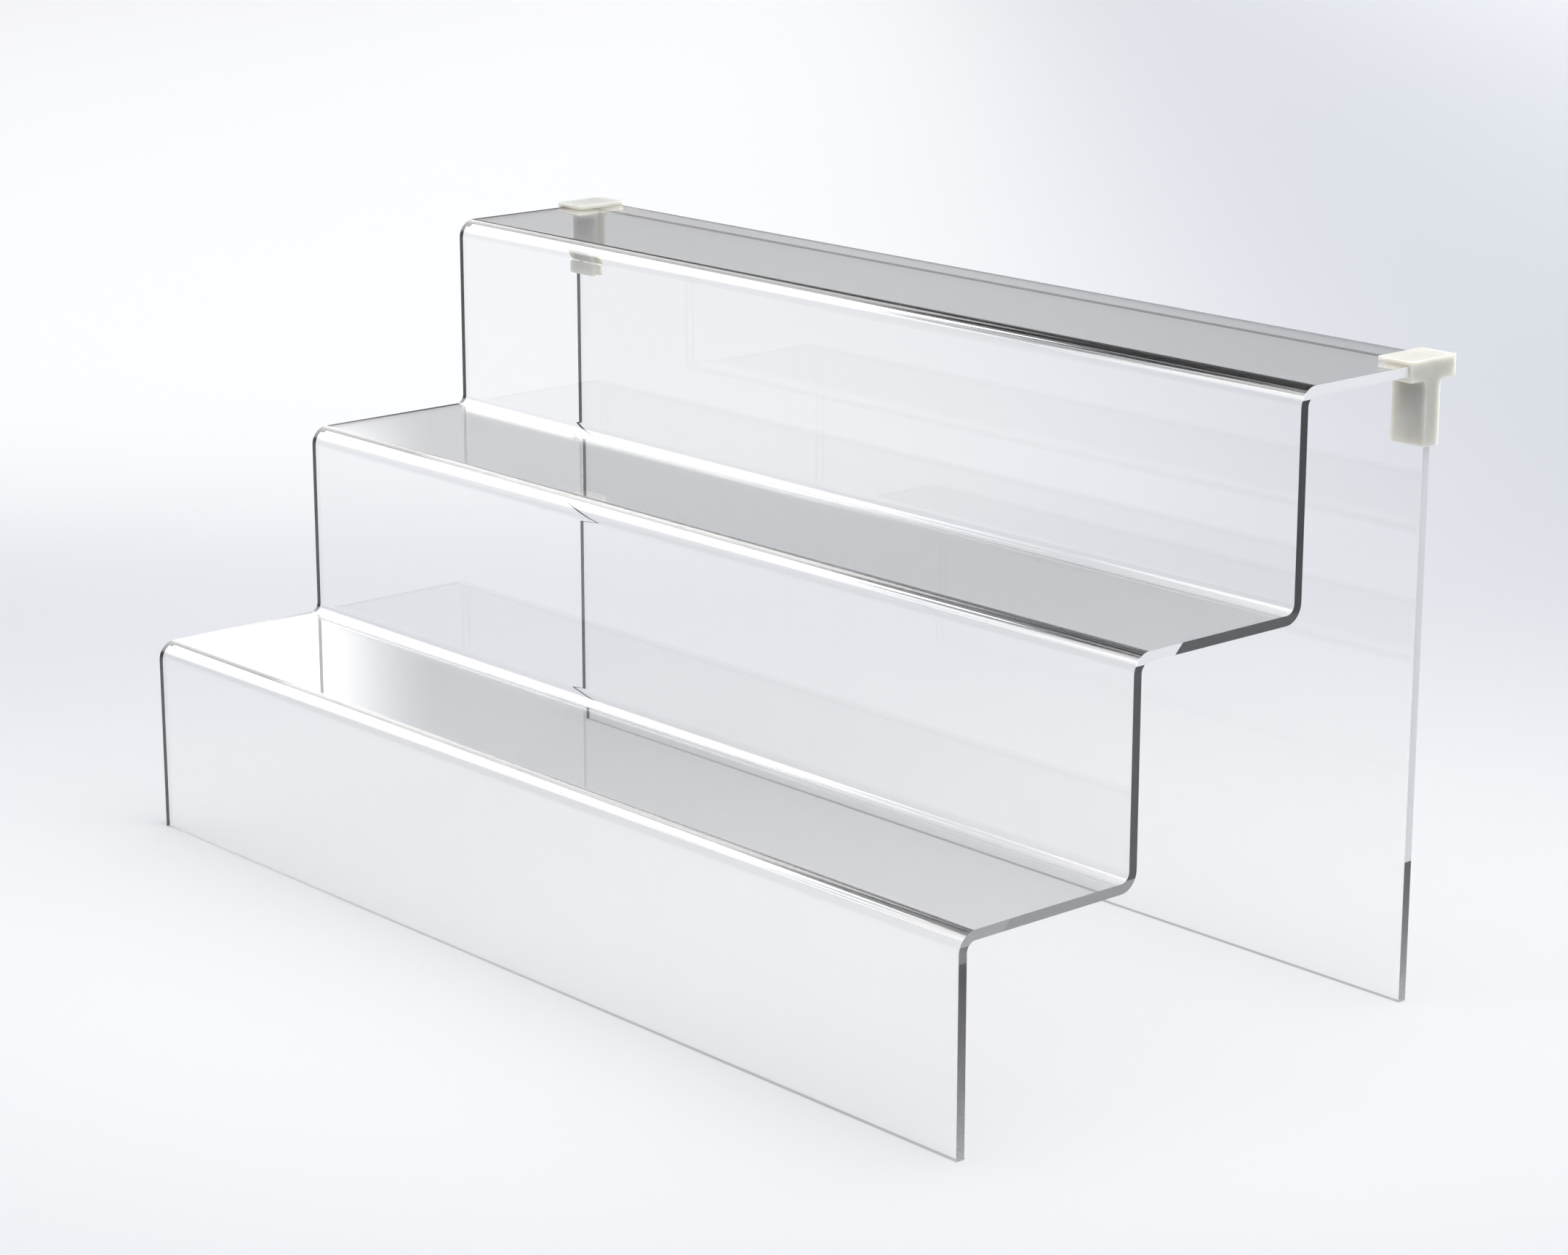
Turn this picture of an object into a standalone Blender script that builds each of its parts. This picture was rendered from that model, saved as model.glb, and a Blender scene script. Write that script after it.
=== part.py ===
"""Tiered shelf riser: a clear sheet bent into three tiers, a clear back panel and two corner clips.

Frame: +X along the tiers, +Y from the front riser to the back panel, +Z up. The origin is on the
surface that the riser stands on, midway between its ends, its front and its back. Metres.

How it goes together: the back panel stands on the same surface as the front riser, and the top
tread rests on its upper edge. A T-shaped clip is pushed onto each end of that joint from the side.
Its bar takes the rear corner of the top tread and its leg takes the upper corner of the panel.
"""

import math

import bmesh
import bpy
from mathutils import Vector

INCH = 0.0254

# The bent sheet
WIDTH = 24 * INCH  # length of every tier
STEP = 4 * INCH  # height of each riser and depth of each tread
TIERS = 3
SHEET = 3 / 16 * INCH  # thickness of the clear stock
BEND_INSIDE = SHEET  # radius on the hollow side of a bend
BEND_OUTSIDE = BEND_INSIDE + SHEET
BEND_SIDES = 8  # straight facets in each quarter bend

# The clips
CLIP_WALL = 0.0023
CLIP_LENGTH = 0.020  # along the tiers
CLIP_DEPTH = 0.0304  # front to back, across the bar of the T
CLIP_HEIGHT = 0.0405
CLIP_FILLET = 0.003  # where the bar meets the leg
FILLET_SIDES = 4

GAP = 0.0003  # air between touching pieces
OVERSHOOT = 0.005  # how far a cutter runs past what it cuts

TOP = TIERS * STEP
FRONT = -TIERS * STEP / 2
BACK = TIERS * STEP / 2
TREAD_MIDDLE = TOP - SHEET / 2  # height of the middle of the top tread's thickness
PANEL_Y = BACK - CLIP_DEPTH / 2  # middle of the panel's thickness
PANEL_HEIGHT = TOP - SHEET - GAP
SLOT = SHEET + 2 * GAP


def remove_everything():
    for thing in list(bpy.data.objects):
        bpy.data.objects.remove(thing)


def material(name, colour, roughness, alpha):
    made = bpy.data.materials.new(name)
    made.use_nodes = True
    shader = made.node_tree.nodes["Principled BSDF"]
    shader.inputs["Base Color"].default_value = (*colour, 1)
    shader.inputs["Roughness"].default_value = roughness
    shader.inputs["Metallic"].default_value = 0
    shader.inputs["Alpha"].default_value = alpha
    return made


def clear_acrylic(name):
    return material(name, (0.90, 0.93, 0.94), 0.05, 0.35)


def frosted_plastic(name):
    return material(name, (0.88, 0.87, 0.83), 0.45, 0.9)


def rounded(corners, radii, sides):
    """A closed outline, as (y, z) points, with a quarter arc in each corner whose radius isn't 0."""
    points = []
    for index, (corner, radius) in enumerate(zip(corners, radii)):
        corner = Vector(corner)
        if radius == 0:
            points.append(corner)
            continue
        before = Vector(corners[index - 1])
        after = Vector(corners[(index + 1) % len(corners)])
        start = corner + (before - corner).normalized() * radius
        end = corner + (after - corner).normalized() * radius
        centre = start + end - corner
        for side in range(sides + 1):
            turn = side / sides * math.pi / 2
            points.append(centre + (start - centre) * math.cos(turn) + (end - centre) * math.sin(turn))
    return points


def extruded(name, outline, start_x, end_x):
    """A mesh with the (y, z) outline, from start_x to end_x, rounded stretches shaded smooth."""
    shape = bmesh.new()
    face = shape.faces.new([shape.verts.new((start_x, y, z)) for y, z in outline])
    grown = bmesh.ops.extrude_face_region(shape, geom=[face])
    moved = [part for part in grown["geom"] if isinstance(part, bmesh.types.BMVert)]
    bmesh.ops.translate(shape, verts=moved, vec=(end_x - start_x, 0, 0))
    bmesh.ops.recalc_face_normals(shape, faces=shape.faces)
    mesh = bpy.data.meshes.new(name)
    shape.to_mesh(mesh)
    shape.free()
    mesh.shade_smooth()
    mesh.set_sharp_from_angle(angle=math.radians(30))
    return mesh


def placed(name, mesh, location=(0, 0, 0), turn=0):
    """An object at the location, turned about the vertical, in the scene."""
    thing = bpy.data.objects.new(name, mesh)
    thing.location = location
    thing.rotation_euler.z = turn
    bpy.context.scene.collection.objects.link(thing)
    return thing


def stepped_outline():
    """The upper side of the bent sheet from the foot to the rear edge, then its under side back."""
    upper, under = [(FRONT, 0)], [(FRONT + SHEET, 0)]
    upper_radii, under_radii = [0], [0]
    for tier in range(TIERS):
        y, z = FRONT + tier * STEP, (tier + 1) * STEP
        upper.append((y, z))
        upper_radii.append(BEND_OUTSIDE)
        under.append((y + SHEET, z - SHEET))
        under_radii.append(BEND_INSIDE)
        if tier < TIERS - 1:
            upper.append((y + STEP, z))
            upper_radii.append(BEND_INSIDE)
            under.append((y + STEP + SHEET, z - SHEET))
            under_radii.append(BEND_OUTSIDE)
    corners = [*upper, (BACK, TOP), (BACK, TOP - SHEET), *reversed(under)]
    radii = [*upper_radii, 0, 0, *reversed(under_radii)]
    return rounded(corners, radii, BEND_SIDES)


def make_stepped_shelf():
    mesh = extruded("stepped_shelf", stepped_outline(), -WIDTH / 2, WIDTH / 2)
    mesh.materials.append(clear_acrylic("clear_shelf"))
    return placed("stepped_shelf", mesh)


def make_back_panel():
    half = SHEET / 2
    outline = [(-half, 0), (half, 0), (half, PANEL_HEIGHT), (-half, PANEL_HEIGHT)]
    mesh = extruded("back_panel", outline, -WIDTH / 2, WIDTH / 2)
    mesh.materials.append(clear_acrylic("clear_panel"))
    return placed("back_panel", mesh, (0, PANEL_Y, 0))


def t_outline(bar_depth, bar_height, leg_depth, leg_bottom, fillet):
    """A T about the middle of its bar, with a fillet in each corner under the bar."""
    bar, leg, half = bar_depth / 2, leg_depth / 2, bar_height / 2
    corners = [
        (-bar, half),
        (-bar, -half),
        (-leg, -half),
        (-leg, leg_bottom),
        (leg, leg_bottom),
        (leg, -half),
        (bar, -half),
        (bar, half),
    ]
    radii = [fillet if corner in ((-leg, -half), (leg, -half)) else 0 for corner in corners]
    return rounded(corners, radii, FILLET_SIDES)


def clip_mesh():
    """The clip for the +X end: its open side faces -X, and x = 0 is the end of the sheets."""
    outer = CLIP_WALL + GAP
    bar_height = SLOT + 2 * CLIP_WALL
    leg_bottom = bar_height / 2 - CLIP_HEIGHT
    body = extruded(
        "clip_body",
        t_outline(CLIP_DEPTH, bar_height, bar_height, leg_bottom, CLIP_FILLET),
        outer - CLIP_LENGTH,
        outer,
    )
    slots = extruded(
        "clip_slots",
        t_outline(CLIP_DEPTH + 2 * OVERSHOOT, SLOT, SLOT, leg_bottom - OVERSHOOT, 0),
        outer - CLIP_LENGTH - OVERSHOOT,
        GAP,
    )
    solid = bpy.data.objects.new("clip_body", body)
    cutter = bpy.data.objects.new("clip_slots", slots)
    cut = solid.modifiers.new("slots", "BOOLEAN")
    cut.operation = "DIFFERENCE"
    cut.object = cutter
    for thing in (solid, cutter):
        bpy.context.scene.collection.objects.link(thing)
    view = bpy.context.evaluated_depsgraph_get()
    mesh = bpy.data.meshes.new_from_object(solid.evaluated_get(view))
    mesh.name = "clip"
    for thing in (solid, cutter):
        bpy.data.objects.remove(thing)
    return mesh


def make_clips():
    """The same moulding at both ends, turned half round for the left one."""
    mesh = clip_mesh()
    mesh.materials.append(frosted_plastic("frosted_clip"))
    right = placed("right_clip", mesh, (WIDTH / 2, PANEL_Y, TREAD_MIDDLE))
    left = placed("left_clip", mesh, (-WIDTH / 2, PANEL_Y, TREAD_MIDDLE), math.pi)
    return left, right


def hang(child, parent):
    """Parents the child, which keeps its place in the world."""
    bpy.context.view_layer.update()
    child.parent = parent
    child.matrix_parent_inverse = parent.matrix_world.inverted()


def main():
    remove_everything()
    panel = make_back_panel()
    shelf = make_stepped_shelf()
    hang(shelf, panel)
    for clip in make_clips():
        hang(clip, shelf)


main()
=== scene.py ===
"""Looks for the tiered shelf riser: polished clear sheets, moulded clips, floor, light and camera.

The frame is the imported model's: +X along the tiers, +Y towards the back panel, +Z up, metres.
"""

import math

import bmesh
import bpy
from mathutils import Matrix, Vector


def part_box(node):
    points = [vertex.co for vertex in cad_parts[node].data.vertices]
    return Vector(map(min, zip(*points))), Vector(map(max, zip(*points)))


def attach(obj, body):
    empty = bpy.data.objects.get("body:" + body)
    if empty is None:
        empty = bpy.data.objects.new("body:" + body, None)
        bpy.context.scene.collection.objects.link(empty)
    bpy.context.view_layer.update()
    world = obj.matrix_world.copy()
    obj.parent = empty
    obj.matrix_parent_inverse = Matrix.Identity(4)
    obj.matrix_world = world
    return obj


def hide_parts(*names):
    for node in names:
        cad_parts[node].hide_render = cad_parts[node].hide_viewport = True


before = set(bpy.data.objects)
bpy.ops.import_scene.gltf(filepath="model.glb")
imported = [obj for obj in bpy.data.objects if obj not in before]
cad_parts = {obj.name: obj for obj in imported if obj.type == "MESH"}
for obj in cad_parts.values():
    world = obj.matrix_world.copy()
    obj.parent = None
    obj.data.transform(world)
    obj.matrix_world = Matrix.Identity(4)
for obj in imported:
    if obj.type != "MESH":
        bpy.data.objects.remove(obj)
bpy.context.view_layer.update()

# ---- Sizes, read from the frame or worked out from it -------------------------------------------

TIERS = 3
BEND_SIDES = 32  # facets in each quarter bend
EDGE = 0.00012  # radius of the fine arris along every cut edge
EDGE_SIDES = 2
LEAST_RADIUS = 0.00001  # keeps the points of an arris apart where it has been moved in to nothing

shelf_low, shelf_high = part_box("stepped_shelf")
panel_low, panel_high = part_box("back_panel")
clip_low, clip_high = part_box("right_clip")

FRONT, BACK = shelf_low.y, shelf_high.y
TOP = shelf_high.z
STEP = TOP / TIERS
SHEET = panel_high.y - panel_low.y
BEND_INSIDE = SHEET  # radius on the hollow side of a bend
BEND_OUTSIDE = BEND_INSIDE + SHEET
HALF_WIDTH = shelf_high.x

GAP = 0.0003  # air between touching pieces
CLIP_WALL = clip_high.x - HALF_WIDTH - GAP
CLIP_FILLET = 0.003  # where the bar meets the leg
CLIP_FILLET_SIDES = 8
CLIP_EDGE = 0.0002  # radius that the mould leaves on the clips' edges
CLIP_EDGE_SIDES = 3
SHARP = math.radians(40)  # an edge that turns by more than this is rounded
SLOT = SHEET + 2 * GAP
OVERSHOOT = 0.005  # how far a cutter runs past what it cuts


# ---- Materials ----------------------------------------------------------------------------------

ACRYLIC_IOR = 1.49
ABSORPTION = 4.9  # per metre: light that runs the length of a sheet comes out at a twentieth
SHEET_SHADE = 0.955  # what one face of a sheet lets by of the light that falls on the floor
SCRATCH_ROUGHNESS = 0.05
SATIN_ROUGHNESS = 0.4
# A satin end shows white, and these amounts, band by band, are painted highlights on the right-hand cut
# ends.
# How satin the right-hand cut end is on each tier, from 0, which is polished, to 1.
NOSE = 0.03  # how far back from its front a tread counts as its nose
NOSE_SATIN_HIGHLIGHTS = (0.42, 1.0, 1.0)
TREAD_SATIN_HIGHLIGHTS = (0.35, 0.1, 1.0)  # behind the noses
RISER_SATIN_HIGHLIGHTS = (0, 0.08, 0.04)
BEND_SATIN_HIGHLIGHTS = (0.2, 0.08, 0.04)  # under the noses
BEND_BAND = 3 * SHEET  # a bend's band starts this far under the top of its tread
TREAD_BAND = 1.35 * SHEET  # and a tread's, which is early, because a ramp keeps only 256 steps
# The satin upper part of the panel's cut end is a painted highlight.
PANEL_POLISH = 0.068  # the panel's cut end is polished below this height and satin above it
PANEL_SATIN_HIGHLIGHT = 0.75
PANEL_HIGHLIGHT_BANDS = [(0, 0), (PANEL_POLISH, PANEL_SATIN_HIGHLIGHT)]
FOOT_CONTACT_SHADE = 0.32  # the faces the riser stands on are grey: painted contact shadow
CLIP_TONES = ((0.61, 0.59, 0.52), (0.66, 0.64, 0.57))  # of the clouds in the moulded plastic


def new_material(name):
    made = bpy.data.materials.new(name)
    made.use_nodes = True
    return made, made.node_tree.nodes, made.node_tree.links


def noise(nodes, links, place, scale, detail):
    texture = nodes.new("ShaderNodeTexNoise")
    texture.inputs["Scale"].default_value = scale
    texture.inputs["Detail"].default_value = detail
    links.new(place, texture.inputs["Vector"])
    return texture.outputs["Fac"]


def ranged(nodes, links, value, low, high, to_low, to_high):
    ramp = nodes.new("ShaderNodeMapRange")
    for name, number in (("From Min", low), ("From Max", high), ("To Min", to_low), ("To Max", to_high)):
        ramp.inputs[name].default_value = number
    links.new(value, ramp.inputs["Value"])
    return ramp.outputs["Result"]


def joined(nodes, links, operation, first, second):
    step = nodes.new("ShaderNodeMath")
    step.operation = operation
    for socket, value in zip(step.inputs, (first, second)):
        if isinstance(value, (int, float)):
            socket.default_value = value
        else:
            links.new(value, socket)
    return step.outputs[0]


def stretched(nodes, links, place, scale):
    """The same place, drawn out so that a texture runs in lines."""
    mapping = nodes.new("ShaderNodeMapping")
    mapping.inputs["Scale"].default_value = scale
    links.new(place, mapping.inputs["Vector"])
    return mapping.outputs["Vector"]


def face_mask(nodes, name):
    mask = nodes.new("ShaderNodeAttribute")
    mask.attribute_name = name
    return mask.outputs["Fac"]


def bumped(nodes, links, shader, height, distance):
    bump = nodes.new("ShaderNodeBump")
    bump.inputs["Distance"].default_value = distance
    links.new(height, bump.inputs["Height"])
    links.new(bump.outputs["Normal"], shader.inputs["Normal"])


def tread_highlight_bands(amounts):
    """(height, amount) steps of painted highlight up the right end: for each tier its riser, its bend
    and its tread.
    """
    bands = []
    for tier, (riser, bend, tread) in enumerate(zip(RISER_SATIN_HIGHLIGHTS, BEND_SATIN_HIGHLIGHTS, amounts), start=1):
        top = tier * STEP
        bands += [(top - STEP + EDGE, riser), (top - BEND_BAND, bend), (top - TREAD_BAND, tread)]
    return bands


def stepped_ramp(nodes, links, height, bands):
    """The amount of the band that a height is in."""
    ramp = nodes.new("ShaderNodeValToRGB")
    ramp.color_ramp.interpolation = "CONSTANT"
    stops = ramp.color_ramp.elements
    stops.remove(stops[1])
    for index, (start, amount) in enumerate(bands):
        stop = stops[0] if index == 0 else stops.new(start / TOP)
        stop.color = (amount, amount, amount, 1)
    links.new(joined(nodes, links, "DIVIDE", height, TOP), ramp.inputs["Fac"])
    return ramp.outputs["Color"]


def satin_highlight_share(nodes, links, place, nose_highlight_bands, rest_highlight_bands):
    """How satin the right-hand cut end is, as painted highlight, by height and by distance behind each
    tread's front.
    """
    axes = nodes.new("ShaderNodeSeparateXYZ")
    links.new(place, axes.inputs[0])
    nose_highlights = stepped_ramp(nodes, links, axes.outputs["Z"], nose_highlight_bands)
    rest_highlights = stepped_ramp(nodes, links, axes.outputs["Z"], rest_highlight_bands)
    behind = joined(nodes, links, "SUBTRACT", axes.outputs["Y"], FRONT)
    lead = joined(nodes, links, "SUBTRACT", axes.outputs["Z"], behind)
    is_nose = joined(nodes, links, "GREATER_THAN", lead, STEP - NOSE)
    chosen = nodes.new("ShaderNodeMix")
    links.new(is_nose, chosen.inputs["Factor"])
    links.new(rest_highlights, chosen.inputs["A"])
    links.new(nose_highlights, chosen.inputs["B"])
    return joined(nodes, links, "MULTIPLY", chosen.outputs["Result"], face_mask(nodes, "right_end"))


def clear_acrylic(name, nose_highlight_bands, rest_highlight_bands):
    """Polished sheet: clear across its thickness and dark along it, with hairlines from handling."""
    made, nodes, links = new_material(name)
    shader = nodes["Principled BSDF"]
    shader.inputs["Base Color"].default_value = (1, 1, 1, 1)
    shader.inputs["IOR"].default_value = ACRYLIC_IOR
    place = nodes.new("ShaderNodeTexCoord").outputs["Object"]

    # Satin bands turn the right-hand cut end white: painted highlights.
    satin_and_painted_light = satin_highlight_share(nodes, links, place, nose_highlight_bands, rest_highlight_bands)
    foot = face_mask(nodes, "foot")  # satin all over
    satin_and_painted_light = joined(nodes, links, "MAXIMUM", satin_and_painted_light, foot)
    # The feet are greyed: painted contact shadow where the sheets stand on the floor.
    links.new(ranged(nodes, links, foot, 0, 1, 1, FOOT_CONTACT_SHADE), shader.inputs["Base Color"])
    links.new(ranged(nodes, links, satin_and_painted_light, 0, 1, 1, 0), shader.inputs["Transmission Weight"])

    lines = noise(nodes, links, stretched(nodes, links, place, (3, 260, 260)), scale=5, detail=2)
    hairlines = ranged(nodes, links, lines, 0.72, 0.8, 0, SCRATCH_ROUGHNESS)
    dulled = joined(nodes, links, "MULTIPLY", satin_and_painted_light, SATIN_ROUGHNESS)
    links.new(joined(nodes, links, "MAXIMUM", hairlines, dulled), shader.inputs["Roughness"])

    ripple = noise(nodes, links, place, scale=9, detail=1)
    bumped(nodes, links, shader, ripple, distance=0.00001)

    let_light_by(made, nodes, links)
    depth = nodes.new("ShaderNodeVolumeAbsorption")
    depth.inputs["Color"].default_value = (0.5, 0.5, 0.49, 1)  # what it absorbs is 1 less this
    depth.inputs["Density"].default_value = 2 * ABSORPTION
    links.new(depth.outputs[0], nodes["Material Output"].inputs["Volume"])
    return made


def let_light_by(made, nodes, links):
    """Lamps and bounced light reach the floor through clear sheets, which dim them a little."""
    paths = nodes.new("ShaderNodeLightPath")
    surface = nodes["Principled BSDF"].outputs[0]
    for ray in ("Is Shadow Ray", "Is Diffuse Ray"):
        clear = nodes.new("ShaderNodeBsdfTransparent")
        clear.inputs["Color"].default_value = (SHEET_SHADE, SHEET_SHADE, SHEET_SHADE, 1)
        mix = nodes.new("ShaderNodeMixShader")
        links.new(paths.outputs[ray], mix.inputs["Fac"])
        links.new(surface, mix.inputs[1])
        links.new(clear.outputs[0], mix.inputs[2])
        surface = mix.outputs[0]
    links.new(surface, nodes["Material Output"].inputs["Surface"])


def shade_dark_cut(name):
    """The left-hand cut end, near black as painted shade so the cut ends look dark, with its fine marks
    across the sheet.
    """
    made, nodes, links = new_material(name)
    shader = nodes["Principled BSDF"]
    shader.inputs["Base Color"].default_value = (0.03, 0.03, 0.028, 1)
    shader.inputs["Specular IOR Level"].default_value = 0.3
    place = nodes.new("ShaderNodeTexCoord").outputs["Object"]
    marks = noise(nodes, links, place, scale=900, detail=3)
    links.new(ranged(nodes, links, marks, 0.3, 0.7, 0.22, 0.38), shader.inputs["Roughness"])
    bumped(nodes, links, shader, marks, distance=0.00002)
    return made


def frosted_plastic(name):
    """Milky moulded plastic: light goes in, and comes out round the edges."""
    made, nodes, links = new_material(name)
    shader = nodes["Principled BSDF"]
    shader.inputs["IOR"].default_value = 1.5
    shader.inputs["Subsurface Weight"].default_value = 1.0
    shader.inputs["Subsurface Radius"].default_value = (1.0, 0.95, 0.8)
    shader.inputs["Subsurface Scale"].default_value = 0.012
    place = nodes.new("ShaderNodeTexCoord").outputs["Object"]

    cloud = noise(nodes, links, place, scale=120, detail=2)
    tone = nodes.new("ShaderNodeValToRGB")
    for stop, position, colour in zip(tone.color_ramp.elements, (0.3, 0.7), CLIP_TONES):
        stop.position = position
        stop.color = (*colour, 1)
    links.new(cloud, tone.inputs["Fac"])
    links.new(tone.outputs["Color"], shader.inputs["Base Color"])

    grain = noise(nodes, links, place, scale=1400, detail=2)
    links.new(ranged(nodes, links, grain, 0.3, 0.7, 0.26, 0.4), shader.inputs["Roughness"])
    bumped(nodes, links, shader, grain, distance=0.00002)
    return made


# ---- Mesh tools ---------------------------------------------------------------------------------


def rounded(corners, radii, sides):
    """A closed outline, as (y, z) points, with a quarter arc in each corner whose radius isn't 0."""
    points = []
    for index, (corner, radius, count) in enumerate(zip(corners, radii, sides)):
        corner = Vector(corner)
        if radius == 0:
            points.append(corner)
            continue
        before = Vector(corners[index - 1])
        after = Vector(corners[(index + 1) % len(corners)])
        start = corner + (before - corner).normalized() * radius
        end = corner + (after - corner).normalized() * radius
        centre = start + end - corner
        for side in range(count + 1):
            turn = side / count * math.pi / 2
            points.append(centre + (start - centre) * math.cos(turn) + (end - centre) * math.sin(turn))
    return points


def edge_steps():
    """(inset, distance from the end) of each ring of the arris on a cut end, from the end inwards."""
    for side in range(EDGE_SIDES + 1):
        turn = side / EDGE_SIDES * math.pi / 2
        yield EDGE * (1 - math.sin(turn)), EDGE * (1 - math.cos(turn))


def cut_end(face):
    """-1 on the left-hand cut end, 1 on the right-hand one, 0 elsewhere."""
    if abs(face.normal.x) < 0.5:
        return 0
    return -1 if face.calc_center_median().x < 0 else 1


def is_foot(face):
    """Whether a face stands on the floor, where the sheets are left satin from the saw and greyed as
    painted contact shadow.
    """
    return face.normal.z < -0.7 and face.calc_center_median().z < EDGE


def lofted(name, outline_at, half_length):
    """A bar along X with an arris at both ends. outline_at(inset) gives its (y, z) outline."""
    steps = list(edge_steps())
    rings = [(-half_length + along, inset) for inset, along in steps]
    rings += [(half_length - along, inset) for inset, along in reversed(steps)]
    shape = bmesh.new()
    loops = []
    for x, inset in rings:
        loops.append([shape.verts.new((x, y, z)) for y, z in outline_at(inset)])
    for first, second in zip(loops, loops[1:]):
        for index in range(len(first)):
            after = (index + 1) % len(first)
            shape.faces.new((first[index], first[after], second[after], second[index]))
    shape.faces.new(loops[0])
    shape.faces.new(loops[-1])
    bmesh.ops.recalc_face_normals(shape, faces=shape.faces)
    right_end = shape.faces.layers.float.new("right_end")
    foot = shape.faces.layers.float.new("foot")
    for face in shape.faces:
        # The left-hand cut end takes the second material, near black as painted shade.
        face.material_index = int(cut_end(face) == -1)
        face[foot] = float(is_foot(face))
        face[right_end] = float(cut_end(face) == 1)
    mesh = bpy.data.meshes.new(name)
    shape.to_mesh(mesh)
    shape.free()
    mesh.shade_smooth()
    return mesh


def placed(name, mesh):
    thing = bpy.data.objects.new(name, mesh)
    bpy.context.scene.collection.objects.link(thing)
    return thing


def true_flats(thing):
    """Keeps flat faces flat beside smooth bends and edges."""
    weighting = thing.modifiers.new("flats", "WEIGHTED_NORMAL")
    weighting.mode = "FACE_AREA"
    weighting.weight = 100
    weighting.keep_sharp = True


# ---- The sheets ---------------------------------------------------------------------------------


def stepped_outline(inset):
    """The bent sheet's outline, moved in by the inset: upper side, rear edge, under side, foot."""
    upper, under = [], []
    upper_radii, under_radii = [], []
    outside, inside = BEND_OUTSIDE - inset, BEND_INSIDE + inset
    for tier in range(TIERS):
        y, z = FRONT + tier * STEP, (tier + 1) * STEP
        upper.append((y + inset, z - inset))
        upper_radii.append(outside)
        under.append((y + SHEET - inset, z - SHEET + inset))
        under_radii.append(inside)
        if tier < TIERS - 1:
            upper.append((y + STEP + inset, z - inset))
            upper_radii.append(inside)
            under.append((y + STEP + SHEET - inset, z - SHEET + inset))
            under_radii.append(outside)
    rear = [(BACK - inset, TOP - inset), (BACK - inset, TOP - SHEET + inset)]
    foot = [(FRONT + SHEET - inset, inset), (FRONT + inset, inset)]
    corners = [*upper, *rear, *reversed(under), *foot]
    edge = EDGE - inset
    radii = [*upper_radii, edge, edge, *reversed(under_radii), edge, edge]
    bends, edges = [BEND_SIDES] * len(upper), [EDGE_SIDES] * 2
    radii = [max(radius, LEAST_RADIUS) for radius in radii]
    return rounded(corners, radii, [*bends, *edges, *bends, *edges])


def panel_outline(inset):
    """The panel's outline, moved in by the inset."""
    low_y, high_y = panel_low.y + inset, panel_high.y - inset
    low_z, high_z = panel_low.z + inset, panel_high.z - inset
    corners = [(low_y, low_z), (high_y, low_z), (high_y, high_z), (low_y, high_z)]
    edge = max(EDGE - inset, LEAST_RADIUS)
    return rounded(corners, [edge] * 4, [EDGE_SIDES] * 4)


def make_sheet(name, outline_at, node, body, nose_highlight_bands, rest_highlight_bands):
    sheet = placed(name, lofted(name, outline_at, HALF_WIDTH))
    sheet.data.materials.append(clear_acrylic(name + "_acrylic", nose_highlight_bands, rest_highlight_bands))
    # The left-hand cut end: near black, painted shade.
    sheet.data.materials.append(shade_dark_cut(name + "_left_end"))
    true_flats(sheet)
    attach(sheet, body)
    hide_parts(node)


# ---- The clips ----------------------------------------------------------------------------------


def t_outline(bar_depth, bar_height, leg_depth, leg_bottom, fillet):
    """A T about the middle of its bar, with a fillet in each corner under the bar."""
    bar, leg, half = bar_depth / 2, leg_depth / 2, bar_height / 2
    corners = [
        (-bar, half),
        (-bar, -half),
        (-leg, -half),
        (-leg, leg_bottom),
        (leg, leg_bottom),
        (leg, -half),
        (bar, -half),
        (bar, half),
    ]
    radii = [fillet if corner in ((-leg, -half), (leg, -half)) else 0 for corner in corners]
    return rounded(corners, radii, [CLIP_FILLET_SIDES] * len(corners))


def extruded(name, outline, start_x, end_x):
    shape = bmesh.new()
    face = shape.faces.new([shape.verts.new((start_x, y, z)) for y, z in outline])
    grown = bmesh.ops.extrude_face_region(shape, geom=[face])
    moved = [part for part in grown["geom"] if isinstance(part, bmesh.types.BMVert)]
    bmesh.ops.translate(shape, verts=moved, vec=(end_x - start_x, 0, 0))
    bmesh.ops.recalc_face_normals(shape, faces=shape.faces)
    mesh = bpy.data.meshes.new(name)
    shape.to_mesh(mesh)
    shape.free()
    return mesh


def clip_mesh():
    """The clip for the +X end: its open side faces -X, and x = 0 is the end of the sheets."""
    outer = CLIP_WALL + GAP
    length = clip_high.x - clip_low.x
    depth = clip_high.y - clip_low.y
    bar_height = SLOT + 2 * CLIP_WALL
    leg_bottom = bar_height / 2 - (clip_high.z - clip_low.z)
    outline = t_outline(depth, bar_height, bar_height, leg_bottom, CLIP_FILLET)
    slots = t_outline(depth + 2 * OVERSHOOT, SLOT, SLOT, leg_bottom - OVERSHOOT, 0)
    solid = placed("clip_body", extruded("clip_body", outline, outer - length, outer))
    cutter = placed("clip_slots", extruded("clip_slots", slots, outer - length - OVERSHOOT, GAP))
    cut = solid.modifiers.new("slots", "BOOLEAN")
    cut.operation = "DIFFERENCE"
    cut.object = cutter
    soften = solid.modifiers.new("edges", "BEVEL")
    soften.width = CLIP_EDGE
    soften.segments = CLIP_EDGE_SIDES
    soften.limit_method = "ANGLE"
    soften.angle_limit = SHARP
    view = bpy.context.evaluated_depsgraph_get()
    mesh = bpy.data.meshes.new_from_object(solid.evaluated_get(view))
    mesh.name = "moulded_clip"
    mesh.shade_smooth()
    for thing in (solid, cutter):
        bpy.data.objects.remove(thing)
    return mesh


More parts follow.
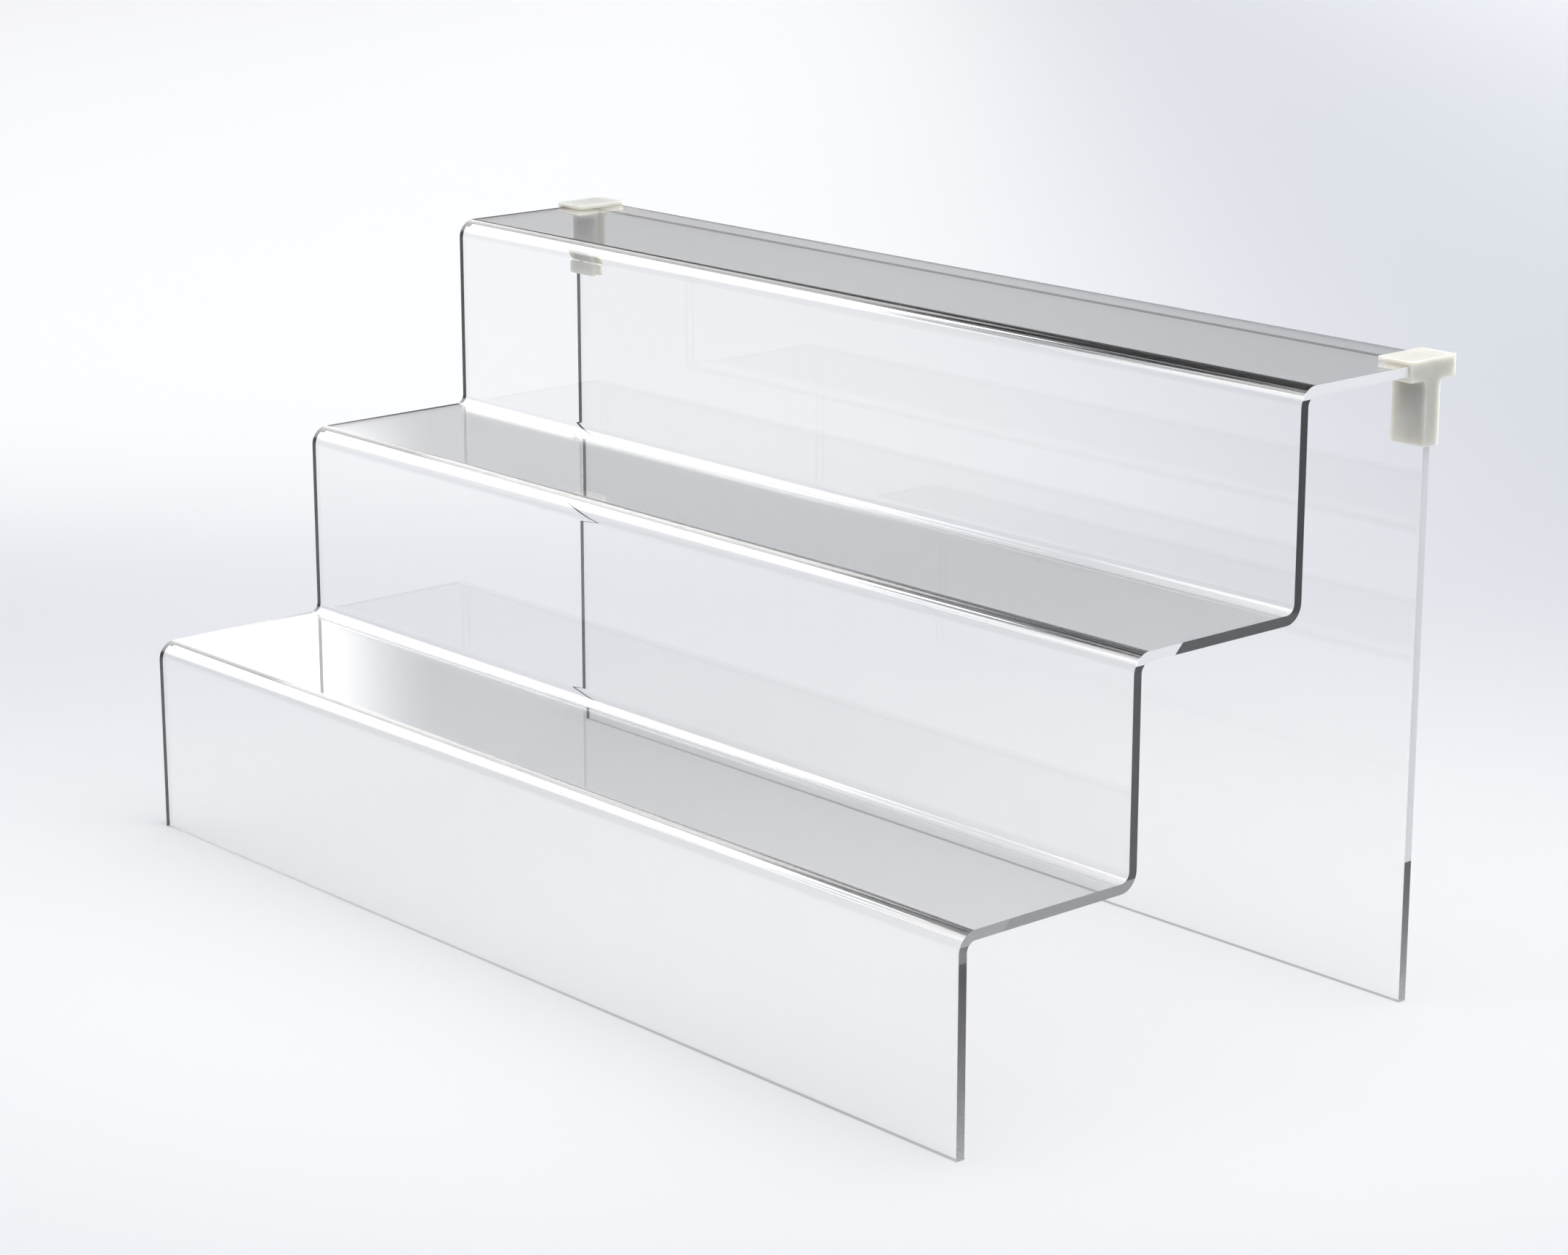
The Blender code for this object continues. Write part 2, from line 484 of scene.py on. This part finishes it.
def make_clips():
    """The same moulding at both ends, turned half round for the left one."""
    mesh = clip_mesh()
    mesh.materials.append(frosted_plastic("frosted_clip"))
    middle_y = (clip_low.y + clip_high.y) / 2
    middle_z = TOP - SHEET / 2
    for side, end_x, turn in (("left", -HALF_WIDTH, math.pi), ("right", HALF_WIDTH, 0)):
        clip = placed(side + "_moulded_clip", mesh)
        clip.location = (end_x, middle_y, middle_z)
        clip.rotation_euler.z = turn
        true_flats(clip)
        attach(clip, side + "_clip")
        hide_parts(side + "_clip")


# ---- Stage, light and camera --------------------------------------------------------------------

SKY_TINT = (0.845, 0.895, 1.0)
KEY_TINT = (1.0, 0.95, 0.87)
WORLD_STRENGTH = 0.04
FLOOR_TONE = 0.7
FLOOR_REACH = 30
FLOOR_GAP = 0.0001  # keeps the floor just clear of the feet
# Light that enters a cut edge crosses the sheet about fifty times before it leaves at the far end.
BOUNCES = 128


def make_floor():
    shape = bmesh.new()
    bmesh.ops.create_grid(shape, x_segments=1, y_segments=1, size=FLOOR_REACH)
    mesh = bpy.data.meshes.new("floor")
    shape.to_mesh(mesh)
    shape.free()
    made, nodes, links = new_material("pale_floor")
    shader = nodes["Principled BSDF"]
    shader.inputs["Base Color"].default_value = (FLOOR_TONE, FLOOR_TONE, FLOOR_TONE, 1)
    shader.inputs["Roughness"].default_value = 0.9
    shader.inputs["Specular IOR Level"].default_value = 0.0
    mesh.materials.append(made)
    floor = placed("floor", mesh)
    floor.location.z = -FLOOR_GAP


def softbox(name, middle, facing, width, height, radiance, colour=(1, 1, 1), fade=(0, 0, 0, 0)):
    """A flat lamp of even brightness. fade: how much of it dims out at its left, right, foot, top."""
    data = bpy.data.lights.new(name, "AREA")
    data.shape = "RECTANGLE"
    data.size, data.size_y = width, height
    data.energy = radiance * math.pi * width * height
    data.color = colour
    if any(fade):
        fade_edges(data, fade)
    lamp = bpy.data.objects.new(name, data)
    lamp.location = middle
    lamp.rotation_euler = (Vector(facing) - Vector(middle)).to_track_quat("-Z", "Y").to_euler()
    lamp.visible_camera = False
    bpy.context.scene.collection.objects.link(lamp)
    return lamp


def fade_edges(data, fade):
    """Dims a lamp towards its edges, by its nodes."""
    data.use_nodes = True
    nodes, links = data.node_tree.nodes, data.node_tree.links
    place = nodes.new("ShaderNodeNewGeometry")
    across = nodes.new("ShaderNodeSeparateXYZ")
    links.new(place.outputs["Parametric"], across.inputs[0])
    strength = 1
    for axis, ends in (("X", fade[:2]), ("Y", fade[2:])):
        for end, reach in enumerate(ends):
            if not reach:
                continue
            ramp = nodes.new("ShaderNodeMapRange")
            ramp.interpolation_type = "SMOOTHSTEP"
            ramp.inputs["From Min"].default_value = end
            ramp.inputs["From Max"].default_value = abs(end - reach)
            links.new(across.outputs[axis], ramp.inputs["Value"])
            strength = joined(nodes, links, "MULTIPLY", strength, ramp.outputs["Result"])
    links.new(strength, nodes["Emission"].inputs["Strength"])


def make_lights():
    """The ceiling and pools light only dull surfaces. The last four lamps show only in shiny ones."""
    ceiling = softbox("ceiling", (0, 0, 4.0), (0, 0, 0), 12.0, 12.0, 1.09, SKY_TINT)
    strip = softbox("overhead_strip", (0.08, -0.05, 0.8), (0.08, -0.05, 0), 1.5, 0.4, 3.1, KEY_TINT)
    near_pool = softbox("near_pool", (-3.2, 1.6, 0.3), (-3.2, 1.6, 0), 2.5, 5.3, 0.6, KEY_TINT)
    far_pool = softbox("far_pool", (-1.5, 3.9, 0.6), (-1.5, 3.9, 0), 2.0, 5.0, 0.4)
    for lamp in (strip, near_pool, far_pool):
        lamp.rotation_euler.z = math.radians(CAMERA_YAW)
    for lamp in (ceiling, near_pool, far_pool):
        lamp.visible_glossy = False
        lamp.visible_transmission = False
    softbox("rear_wall", (-1.6, 8, 1.3), (-1.6, 0, 1.3), 6.0, 2.6, 8.0)
    softbox("right_fill", (3.0, -0.3, 1.0), (0, -0.3, 1.0), 2.0, 1.6, 1.3)
    shine_fade = (0.12, 0.12, 0.05, 0.1)
    shine = softbox("left_shine", (-3.2, 0.05, 2.2), (0, 0.05, 2.2), 4.2, 2.6, 4.5, fade=shine_fade)
    glow = softbox("horizon", (-7.9, 4.3, 0.8), (0, 0, 0.8), 5.4, 1.6, 2.0, fade=(0.1, 0.1, 0, 0.9))
    low = softbox("left_low", (-8.0, -1.0, 0.8), (0, -1.0, 0.8), 8.0, 1.6, 3.0, fade=(0.1, 0.1, 0, 0.4))
    card = softbox("dim_card", (-7.0, 6.0, 2.2), (0, 0, 2.2), 10.0, 4.4, 0.3)
    for lamp in (shine, glow, low, card):
        lamp.visible_diffuse = False


def make_world():
    world = bpy.data.worlds.new("studio")
    bpy.context.scene.world = world
    world.use_nodes = True
    back = world.node_tree.nodes["Background"]
    back.inputs["Color"].default_value = (*SKY_TINT, 1)
    back.inputs["Strength"].default_value = WORLD_STRENGTH


def trace_long_paths():
    cycles = bpy.context.scene.cycles
    cycles.max_bounces = BOUNCES
    cycles.glossy_bounces = BOUNCES
    cycles.transmission_bounces = BOUNCES


CAMERA_PLACE = (1.3913, -1.2070, 0.6418)
CAMERA_YAW = 48.6  # degrees, from looking along +Y towards -X
CAMERA_DOWN = 15.111  # degrees below the level
CAMERA_LENS = 88.69  # millimetres
CAMERA_SENSOR = 36  # millimetres wide


def make_camera():
    data = bpy.data.cameras.new("camera")
    data.sensor_width = CAMERA_SENSOR
    data.lens = CAMERA_LENS
    camera = bpy.data.objects.new("camera", data)
    camera.location = CAMERA_PLACE
    camera.rotation_euler = (math.radians(90 - CAMERA_DOWN), 0, math.radians(CAMERA_YAW))
    bpy.context.scene.collection.objects.link(camera)
    bpy.context.scene.camera = camera


make_camera()
nose_highlights, tread_highlights = tread_highlight_bands(NOSE_SATIN_HIGHLIGHTS), tread_highlight_bands(TREAD_SATIN_HIGHLIGHTS)
make_sheet("bent_sheet", stepped_outline, "stepped_shelf", "shelf", nose_highlights, tread_highlights)
make_sheet("panel_sheet", panel_outline, "back_panel", "panel", PANEL_HIGHLIGHT_BANDS, PANEL_HIGHLIGHT_BANDS)
make_clips()
make_floor()
make_lights()
make_world()
bpy.context.scene.view_settings.view_transform = "Standard"
trace_long_paths()
